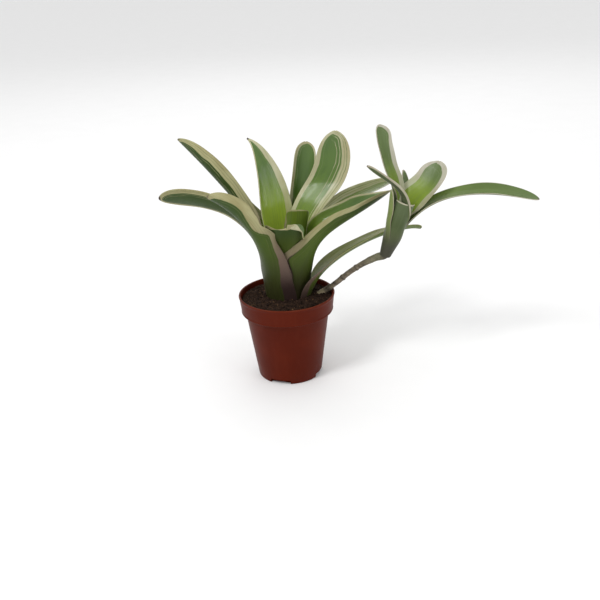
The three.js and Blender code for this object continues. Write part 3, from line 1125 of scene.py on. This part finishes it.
def scrap(add: Callable[[], Any], shape: Callable[[Array], Array]) -> Scrap:
    """Models one small piece that is copied later.

    Args:
        add: Adds the primitive that it starts from.
        shape: Takes the primitive's points and gives the piece's.

    Returns:
        Its points and triangles.
    """
    deselect()
    add()
    piece = bpy.context.object
    set_points(piece, shape(points_of(piece)))
    edit(bpy.ops.mesh.quads_convert_to_tris)
    found = points_of(piece), np.array([list(face.vertices) for face in piece.data.polygons])
    bpy.data.objects.remove(piece)
    return found


@dataclass(frozen=True)
class StemFinish:
    """Grey-brown stolon bark with darker rings, a pale dry stub near the soil and a greener pup end."""

    bark: Colour = srgb(112, 102, 84)
    dark: Colour = srgb(58, 50, 42)
    stub: Colour = srgb(170, 156, 126)
    green: Colour = srgb(98, 104, 76)
    relief: float = 0.25
    shine: float = 0.35

    def material(self) -> Material:
        """Builds the material.

        Returns:
            The material.
        """
        graph = Graph("stolon_bark")
        along = graph.attribute("along")
        fibre = graph.streaks(graph.attribute("skin", "Vector"), (2.2, 0.16, 2.2), 3.0)
        cloud = graph.grain(graph.place(), 240.0, 4.0, 0.6)
        colour = graph.mix(cloud.ramp(0.35, 0.7), self.bark, self.dark)
        colour = graph.mix(fibre.ramp(0.5, 0.72) * 0.4, colour, self.stub)
        colour = graph.mix(along.ramp(0.5, 0.74) * 0.6, colour, self.green)
        colour = graph.mix(along.ramp(0.205, 0.19) * 0.85, colour, self.stub)
        colour = graph.mix(cloud.ramp(0.55, 0.75) * along.ramp(0.2, 0.19) * 0.6, colour, self.dark)
        colour = graph.mix(graph.attribute("ring") * 0.85, colour, self.dark)
        roughness = 0.62 + (cloud - 0.5) * 0.3
        height = fibre * 0.7 + cloud * 0.6
        return graph.finish(colour, roughness, height, self.relief, self.shine)


@dataclass(frozen=True)
class Stolon:
    """The short stock in the soil, and the stolon that crosses the rim and turns up into the pup.

    swells are the stretches where its radius changes: a share of the length, the stretch and the radius
    after it. nodes are the shares where its rings sit, and stem_heights are heights along the pup's axis.
    """

    route: tuple[Point, ...] = (
        (8, 3.5, 43.1), (13, 3.1, 43.3), (20, 2, 47.7), (28, 0, 53.8), (35.5, -3, 61), (43, -6.3, 67.2),
        (50.5, -9.6, 72),
    )
    stem_heights: Point = (0.4, 6, 21)
    first_radius: float = 1.9
    swells: tuple[Point, ...] = ((0.14, 0.12, 1.55), (0.5, 0.24, 2.25), (0.74, 0.1, 2.05), (0.84, 0.16, 1.8))
    nodes: Point = (0.24, 0.37, 0.5)
    ring_height: float = 0.34
    ring_spread: float = 0.009
    fineness: int = 40
    steps: int = 260
    stock_outline: Pairs = (
        (0.5, 41), (13, 41), (13.6, 41.8), (13.6, 44.5), (13.1, 45.1), (3.4, 45.1), (2.4, 47.5), (1.2, 49.9),
        (0.4, 50.5),
    )

    def radius(self, along: float) -> float:
        """The stolon's radius at a share of its length, in millimetres."""
        found = self.first_radius
        for start, stretch, radius in self.swells:
            found += (radius - found) * float(grow(along, start, stretch))
        rings = sum(float(hump(along, node, self.ring_spread)) for node in self.nodes)
        return found + self.ring_height * rings

    def line(self) -> Array:
        """Evenly spaced points along the stolon's middle, in millimetres."""
        knots = [Vector(point) for point in self.route]
        knots += [Vector(PUP_FOOT) + height * Vector(PUP_AXIS) for height in self.stem_heights]
        before, after = 2 * knots[0] - knots[1], 2 * knots[-1] - knots[-2]
        held = [before, *knots, after]
        spans = zip(held, knots, knots[1:], held[3:])
        fine = [spline(*span, step / self.fineness) for span in spans for step in range(self.fineness)]
        points = np.array([*fine, knots[-1]])
        travelled = distances(points)
        at = np.linspace(0, travelled[-1], self.steps + 1)
        return np.stack([np.interp(at, travelled, points[:, axis]) for axis in range(3)], 1)

    def tube(self) -> Piece:
        """The stolon, as a tube along its line with a slightly uneven skin."""
        middle = self.line()
        curve = bpy.data.curves.new("stolon", "CURVE")
        curve.dimensions = "3D"
        curve.bevel_depth = MM
        curve.bevel_resolution = 6
        curve.use_fill_caps = True
        path = curve.splines.new("POLY")
        path.points.add(self.steps)
        for index, point in enumerate(middle):
            path.points[index].co = (*(point * MM), 1)
            path.points[index].radius = self.radius(index / self.steps)
        choose(link("stolon", curve))
        bpy.ops.object.convert(target="MESH")
        tube = bpy.context.object
        points = points_of(tube) / MM
        nearest = np.linalg.norm(points[:, None] - middle[None], axis=2).argmin(1)
        along = nearest / self.steps
        rough = [noise.noise(Vector(p) * 0.55) * 0.12 + noise.noise(Vector(p) * 1.6) * 0.05 for p in points]
        away = unit(points - middle[nearest] + 1e-9)
        points = points + away * np.array(rough)[:, None]
        set_points(tube, points * MM)
        rings = sum(hump(along, node + 0.004, 0.007) for node in self.nodes)
        self.mark(tube, along, rings + 0.8 * hump(along, 0.735, 0.02), points)
        return tube

    def stock(self) -> Piece:
        """The short, thick stem in the soil, turned round the rosette's axis."""
        stock = turned(self.stock_outline, 48)
        stock.data.transform(Matrix.Translation((ROSETTE_FOOT[0] * MM, ROSETTE_FOOT[1] * MM, 0)))
        points = points_of(stock) / MM
        self.mark(stock, np.full(len(points), 0.4), np.zeros(len(points)), points)
        return stock

    def build(self) -> None:
        """Joins the stolon and the stock in one piece and dresses it."""
        stolon, stock = self.tube(), self.stock()
        choose(stolon)
        stock.select_set(True)
        bpy.ops.object.join()
        dress(stolon, StemFinish().material())
        bpy.ops.object.shade_smooth_by_angle(angle=math.radians(50))
        settle(stolon, "stolon_and_stock", "stem", "stem_and_stolon")

    def mark(self, piece: Piece, along: Array, ring: Array, points: Array) -> None:
        """Gives the piece the attributes that its finish reads."""
        x, y, z = points.T
        attach(piece, along=along, ring=np.clip(ring, 0, 1), skin=np.stack([y, x * 1.2 + z, z], 1))


def spline(before: Vector, start: Vector, end: Vector, after: Vector, at: float) -> Vector:
    """A point of a smooth curve through points, its pace set by the roots of their distances.

    Args:
        before: The point before the stretch.
        start: The stretch's first point.
        end: The stretch's last point.
        after: The point after the stretch.
        at: Where on the stretch, from 0 to 1.

    Returns:
        The point.
    """
    steps = ((before, start), (start, end), (end, after))
    first, second, third = (math.sqrt((last - this).length) for this, last in steps)
    leave = (start - before) / first - (end - before) / (first + second) + (end - start) / second
    reach = (end - start) / second - (after - start) / (second + third) + (after - end) / third
    square, cube = at * at, at**3
    ends = start * (2 * cube - 3 * square + 1) + end * (3 * square - 2 * cube)
    return ends + leave * second * (cube - 2 * square + at) + reach * second * (cube - square)


ROSETTE_LEAVES = (
    Leaf(
        "leaf_heart", 290, 4.4, 75, 4.5, 34, (7.5, 0, 87), (8, -1, 99), 15, 0.8, 6.5, -33,
        end_at=0.91, blunt=3, rounding=0.5,
        plus=((0, 0.6), (1, 0.4)), minus=((0, 1.5), (0.84, 3.2), (0.93, 0.6)), glow=(0.95, 0.4, 0.95),
        lobes=(Lobe(-1, 0.78, 0.14, 2.0), Lobe(-1, 1.0, 0.06, -1.6), Lobe(1, 0.97, 0.08, 1.4)),
    ),
    Leaf(
        "leaf_back_tall", 58, 5.8, 55, 6, 75, (31.5, 22.5, 87.5), (32, 24, 136.5), 21, 0.75, 25, -1,
        broad_at=0.8, end_at=0.8, plus=((0, 1.5), (0.5, 2.4), (0.8, 2.8), (0.93, 1.8), (1, 1.3)),
        minus=((0, 2.5), (0.5, 4.4), (0.75, 6.0), (0.92, 4.6), (1, 1.4)), glow=(0.4, 0.36, 0.4),
        stripes=(0.1, 1.0),
    ),
    Leaf(
        "leaf_back_left", 120, 7, 55, 7, 8, (0.5, 21.5, 124), (-18, 24, 134.5), 21, 0.9, 24, -55,
        broad_at=0.5, end_at=0.5, blunt=1.6, rounding=0.9, plus=((0, 0.5), (1, 0.6)),
        minus=((0, 3.0), (0.5, 4.2), (0.85, 3.2), (1, 0.8)), glow=(0.42, 0.4, 0.95), mucro=1,
    ),
    Leaf(
        "leaf_back", 88, 8.1, 48, 8, 12, (15, 31, 111), (15.5, 34, 129), 16.5, 0.7, 6.5, 8, end_at=0.85,
        plus=((0, 1.5), (0.6, 2.8), (0.92, 2.4), (1, 1.0)),
        minus=((0, 1.2), (0.6, 1.6), (0.92, 1.2), (1, 0.8)), glow=(0.4, 0.3, 0.5), stripes=(0.5, 0.0),
    ),
    Leaf(
        "leaf_front", 272, 8.8, 50, 4, 34, (-1, -12, 82), (1.5, -23, 95.5), 21, 0.8, 13, -12,
        end_at=0.91, blunt=3, rounding=0.5, ruffle=0.8, plus=((0, 1.2), (0.6, 1.2), (0.85, 0.4), (1, 0.4)),
        minus=((0, 1.2), (0.6, 1.5), (1, 1.0)), glow=(0.6, 0.4, 0.5), dusk=(0.8, 0.3, 0.25),
        curls=(Curl(1, 0.95, 0.25, -240, start=0.62),),
        lobes=(Lobe(-1, 0.95, 0.14, 2.2), Lobe(1, 0.92, 0.25, 3.0)),
        crests=(Crest(0.6, 0.22, 4.2), Crest(-0.1, 0.2, 0.6), Crest(-0.85, 0.4, -3.4)),
    ),
    Leaf(
        "leaf_left_high", 150, 9.4, 55, 5, 9.5, (4, 20, 68.5), (-58.5, 41, 132.5), 21, 1.1, 6, 42,
        plus=((0, 1.0), (0.35, 2.5), (0.5, 5.0), (0.85, 4.6), (1, 1.4)),
        minus=((0, 3.0), (0.3, 4.0), (0.45, 3.6), (0.6, 0.8), (1, 0.6)), glow=(0.3, 0.3, 0.5),
        stripes=(0.5, 0.8), mucro=0.6, lobes=(Lobe(-1, 0.3, 0.09, 5.0),),
    ),
    Leaf(
        "leaf_right_back", 20, 9.8, 44, 11.2, 42, (-1.5, 35, 76), (64.5, 20, 108), 19, 0.75, 17, -38,
        plus=((0, 2.2), (0.5, 4.8), (0.85, 4.8), (1, 2.0)),
        minus=((0, 2.0), (0.5, 5.2), (0.85, 5.0), (1, 1.8)), glow=(0.9, 0.3, 0.35),
        stripes=(0.9, 1.0), mucro=0.6, turned_over=True,
    ),
    Leaf(
        "leaf_left_low", 177, 10.5, 37, 2, 20, (-14.5, 20, 103.5), (-70, 19, 103.5), 17.5, 0.7, 25, 50,
        broad_at=0.8, end_at=0.82, plus=((0, 1.4), (0.6, 2.6), (0.9, 3.2), (1, 1.6)),
        minus=((0, 1.8), (0.6, 2.2), (0.9, 2.6), (1, 1.6)), glow=(0.3, 0.3, 0.3), stripes=(0.7, 0.2), mucro=1,
        lobes=(Lobe(-1, 0.52, 0.2, -4.4),),
    ),
    Leaf(
        "leaf_right_front", 322, 11.1, 68, 8, 47.5, (26.5, -8, 85), (61, 7.5, 105), 21, 1.3, 9, -20,
        waist_at=0.55, broad_at=0.75, plus=((0, 1.6), (0.5, 1.0), (1, 1.2)),
        minus=((0, 4.0), (0.4, 3.5), (0.6, 2.9), (0.8, 2.5), (1, 1.2)), glow=(0.4, 0.4, 0.4),
        dusk=(0.15, 0.2, 0.4), crease=(0.25, 0.09, 0.9), stripes=(0.6, 0.0), mucro=0.6, raised=13.0,
        lobes=(Lobe(-1, 0.29, 0.08, 6.0), Lobe(1, 0.45, 0.12, 4.0), Lobe(1, 0.75, 0.2, 3.6)),
    ),
    Leaf(
        "leaf_left_front", 222, 12.3, 72, 7, 20, (-9.5, -26.5, 100), (-39, -22, 115), 21, 1, 6, 45,
        waist_at=0.62, broad_at=0.75, mucro=0.6,
        plus=(
            (0, 8.0), (0.2, 6.6), (0.3, 5.4), (0.4, 4.2), (0.5, 3.4), (0.6, 4.0), (0.7, 5.2), (0.9, 4.4),
            (1, 1.6),
        ),
        minus=((0, 0.6), (1, 0.7)), glow=(0.4, 0.4, 0.3), curls=(Curl(1, 0.58, 0.05, -130, start=0.7),),
        lobes=(
            Lobe(1, 0.35, 0.2, 0.6), Lobe(1, 0.56, 0.05, 1.5), Lobe(1, 0.645, 0.035, -2.5),
            Lobe(1, 0.71, 0.05, -1.6),
        ),
    ),
    Leaf(
        "leaf_right_low", 345, 12.4, 42, 16, 34, (73.5, 9.5, 84.5), (79, 14, 79.5), 17, 1, 13, -21,
        height=0.4, plus=((0, 9.0), (0.3, 9.0), (0.45, 6.5), (0.7, 4.6), (1, 1.0)),
        minus=((0, 5.0), (0.1, 4.0), (0.22, 1.5), (0.4, 0.4), (1, 0.3)), glow=(1.0, 0.2, 0.8),
        stripes=(0.4, 0.0), mucro=0.6, raised=16.0,
        lobes=(Lobe(1, 0.2, 0.16, 4.6), Lobe(-1, 0.12, 0.12, 2.6)),
    ),
)

PUP_LEAVES = (
    Leaf(
        "pup_leaf_upright", 150, 2.6, 60, 8.5, 28, (56.5, -11.5, 112), (52.5, -8, 145), 12.5, 1.1, 8.5, -31,
        height=19, end_at=0.85, plus=((0, 0.5), (1, 0.5)),
        minus=((0, 2.0), (0.6, 2.6), (0.95, 1.6), (1, 0.8)), glow=(0.4, 0.3, 0.5),
        lobes=(Lobe(1, 0.92, 0.1, 1.2), Lobe(-1, 0.92, 0.12, 0.7)),
    ),
    Leaf(
        "pup_leaf_right", 60, 2.7, 75, 11, 31.5, (76.5, -12, 103), (85.5, -4, 123), 18, 1.05, 21.5, -30,
        height=13, end_at=0.8, plus=((0, 2.0), (0.6, 3.4), (0.9, 2.4), (1, 0.5)),
        minus=((0, 1.6), (0.6, 3.4), (0.9, 3.0), (1, 0.8)), glow=(0.58, 0.24, 0.85),
    ),
    Leaf(
        "pup_leaf_long", 5, 2.8, 75, 9, 25.5, (91, -10.5, 115), (137.5, -16, 102.5), 11.5, 0.85, 6.5, 22,
        height=6.5, plus=((0, 0.2), (1, 0.2)), minus=((0, 0.2), (1, 0.2)), glow=(0.3, 0.3, 0.3), mucro=0.6,
    ),
    Leaf(
        "pup_leaf_left", 265, 2.1, 85, 10, 32, (73.5, -27.5, 108), (45, -16, 125.5), 9, 0.95, 13, 42,
        height=2, plus=((0, 0.1), (0.4, 0.1), (0.55, 1.3), (0.8, 1.1), (1, 0.8)),
        minus=((0, 0.1), (0.5, 0.3), (1, 0.8)), glow=(0.3, 0.3, 0.3), dusk=(0.64, 0.13, 0.35), mucro=0.6,
        lobes=(Lobe(-1, 0.7, 0.25, -2.3), Lobe(1, 0.78, 0.22, -2.0)),
    ),
    Leaf(
        "pup_leaf_short", 215, 2.4, 60, 10.5, 12, (53.5, -17.5, 72), (58, -17.5, 112.5), 8, 0.7, 6, 11,
        height=3, plus=((0, 0.1), (0.5, 0.1), (1, 0.5)), minus=((0, 0.1), (0.5, 0.1), (1, 0.5)),
        glow=(1.0, 0.2, 0.9), lobes=(Lobe(1, 0.55, 0.3, -0.9),),
    ),
    Leaf(
        "pup_leaf_back", 110, 3.1, 50, 12, 40, (72, -2, 87.5), (67, 3, 117.5), 6.5, 0.85, 7, -28,
        height=3, plus=((0, 0.4), (1, 0.4)), minus=((0, 0.4), (1, 0.4)), glow=(0.3, 0.3, 0.2),
    ),
    Leaf(
        "pup_sheath", 250, 2.95, 160, 10, 9, (61.6, -22.2, 95), (64.9, -23.2, 105.7), 17.5, 1.0, 4.9, 0,
        height=-0.6, thickness=0.5, edge=0.25, end_at=0.94, blunt=4, rounding=0.3, ruffle=0.1,
        plus=((0, 0.3), (1, 0.5)), minus=((0, 0.3), (1, 0.5)), glow=(0.3, 0.3, 0.2), in_frame=False,
    ),
)


@dataclass(frozen=True)
class Rosette:
    """A whorl of leaves round one axis; first_number is the number on the plant of its first leaf."""

    leaves: tuple[Leaf, ...]
    foot: Point
    axis: Point
    outer: LeafFinish
    inner: LeafFinish
    slot: str
    first_number: int

    def build(self) -> None:
        """Builds every leaf with the same two finishes."""
        finishes = [self.outer.material(), self.inner.material()]
        for number, leaf in enumerate(self.leaves, self.first_number):
            piece = leaf.build(self.foot, self.axis, finishes, number)
            nodes = [leaf.name] if leaf.in_frame else []
            settle(piece, f"{leaf.name}_blade", self.slot, *nodes)


@dataclass(frozen=True)
class Lamp:
    """A square soft light: where it hangs and the length of its side, in metres, and its power in watts."""

    name: str
    place: Point
    side: float
    power: float

    def hang(self, target: Point) -> None:
        """Hangs the light so that it points at the target."""
        light = bpy.data.lights.new(self.name, "AREA")
        light.size = self.side
        light.energy = self.power
        lamp = link(self.name, light)
        lamp.location = self.place
        aim = Vector(target) - Vector(self.place)
        lamp.rotation_euler = aim.to_track_quat("-Z", "Y").to_euler()


@dataclass(frozen=True)
class Studio:
    """A pale floor, soft light and the photograph's view.

    distance, elevation and roll place the camera round the rim's middle, in millimetres and degrees. focal,
    frame_width and rim_at are pixels of the photograph: the focal length, the width of the picture and
    where the rim's middle lies in it. The lamps and their target are in metres.
    """

    distance: float = 480.0
    elevation: float = 22.5
    roll: float = 3.0
    focal: float = 837.8
    frame_width: float = 600.0
    rim: Point = (0, 0, 50)
    rim_at: Pair = (286.6, 292.1)
    lamps: tuple[Lamp, ...] = (
        Lamp("key_light", (-0.6, -0.6, 1.05), 0.3, 6.5),
        Lamp("fill_light", (1.0, -0.76, 0.32), 0.3, 2.2),
        Lamp("back_light", (0.1, 0.9, 0.9), 0.8, 2.0),
    )
    target: Point = (0.02, 0, 0.07)
    sky_strength: float = 0.86
    floor_size: float = 30.0

    def camera(self) -> None:
        """Sets the camera so that the rim's middle lands where the photograph has it."""
        tilt, turn = math.radians(self.elevation), math.radians(-self.roll)
        back = Vector((0, -math.cos(tilt), math.sin(tilt)))
        right = Vector((1, 0, 0))
        up = back.cross(right)
        across = right * math.cos(turn) + up * math.sin(turn)
        upward = up * math.cos(turn) - right * math.sin(turn)
        middle = self.frame_width / 2
        toward = Vector(((self.rim_at[0] - middle) / self.focal, (middle - self.rim_at[1]) / self.focal, -1))
        aside = Vector((0, 0, -1)).rotation_difference(toward).to_matrix()
        axes = aside @ Matrix((across, upward, back))
        camera = link("camera", bpy.data.cameras.new("camera"))
        place = (Vector(self.rim) + self.distance * back) * MM
        camera.matrix_world = Matrix.Translation(place) @ axes.transposed().to_4x4()
        camera.data.lens = self.focal / self.frame_width * camera.data.sensor_width
        camera.data.clip_start = 0.01
        camera.data.clip_end = 60
        bpy.context.scene.camera = camera

    def floor(self) -> None:
        """Lays a wide pale floor with a faint grain."""
        deselect()
        bpy.ops.mesh.primitive_plane_add(size=self.floor_size)
        floor = bpy.context.object
        floor.name = "studio_floor"
        graph = Graph("pale_floor")
        cloud = graph.grain(graph.place(), 30.0, 3.0)
        colour = graph.mix(cloud, srgb(240, 240, 240), srgb(244, 244, 244))
        floor.data.materials.append(graph.finish(colour, 0.9 + cloud * 0.02, cloud, 0.01))

    def build(self) -> None:
        """Sets the floor, the lights, the sky and the camera."""
        self.floor()
        for lamp in self.lamps:
            lamp.hang(self.target)
        world = bpy.data.worlds.new("studio")
        world.use_nodes = True
        sky = world.node_tree.nodes["Background"]
        sky.inputs["Color"].default_value = (1.0, 1.0, 1.0, 1.0)
        sky.inputs["Strength"].default_value = self.sky_strength
        bpy.context.scene.world = world
        bpy.context.scene.view_settings.view_transform = "Standard"
        self.camera()


def main() -> None:
    """Builds the pot, the soil, the stolon, both rosettes and the studio."""
    logging.basicConfig(level=logging.INFO, format="%(name)s %(message)s")
    Pot().build()
    Soil().build()
    Stolon().build()
    Rosette(ROSETTE_LEAVES, ROSETTE_FOOT, UPRIGHT, OUTER, INNER, "leaf", 1).build()
    first_pup_number = 1 + len(ROSETTE_LEAVES)
    Rosette(PUP_LEAVES, PUP_FOOT, PUP_AXIS, PUP_OUTER, PUP_INNER, "pup_leaf", first_pup_number).build()
    Studio().build()


if __name__ == "__main__":
    main()
